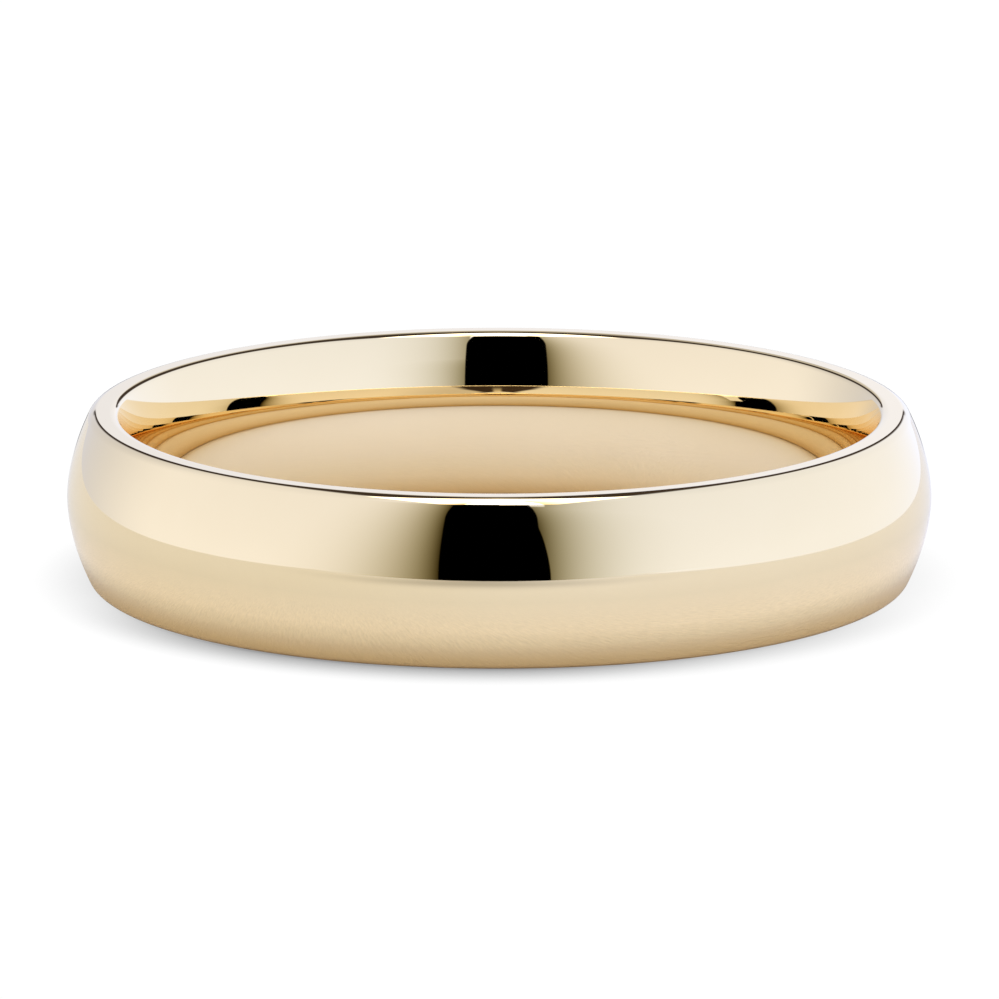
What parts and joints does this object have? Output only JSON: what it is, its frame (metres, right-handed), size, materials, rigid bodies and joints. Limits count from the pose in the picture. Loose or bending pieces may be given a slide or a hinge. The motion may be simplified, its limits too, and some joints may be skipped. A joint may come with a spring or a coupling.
{
  "type": "wedding band",
  "caption": "Plain wedding band in polished yellow gold, with a domed outside, a comfort-fit inside and narrow flat edges.",
  "frame": {"origin": "on the finger axis, in the plane of the edge that the band lies on", "axes": "+Z along the finger axis, from the lower edge to the upper one; X and Y across the bore, and the band is the same all the way round"},
  "size_m": [0.0202, 0.0202, 0.004],
  "materials": {
    "gold": "polished"
  },
  "bodies": {
    "root": {"band": "gold"}
  },
  "joints": []
}
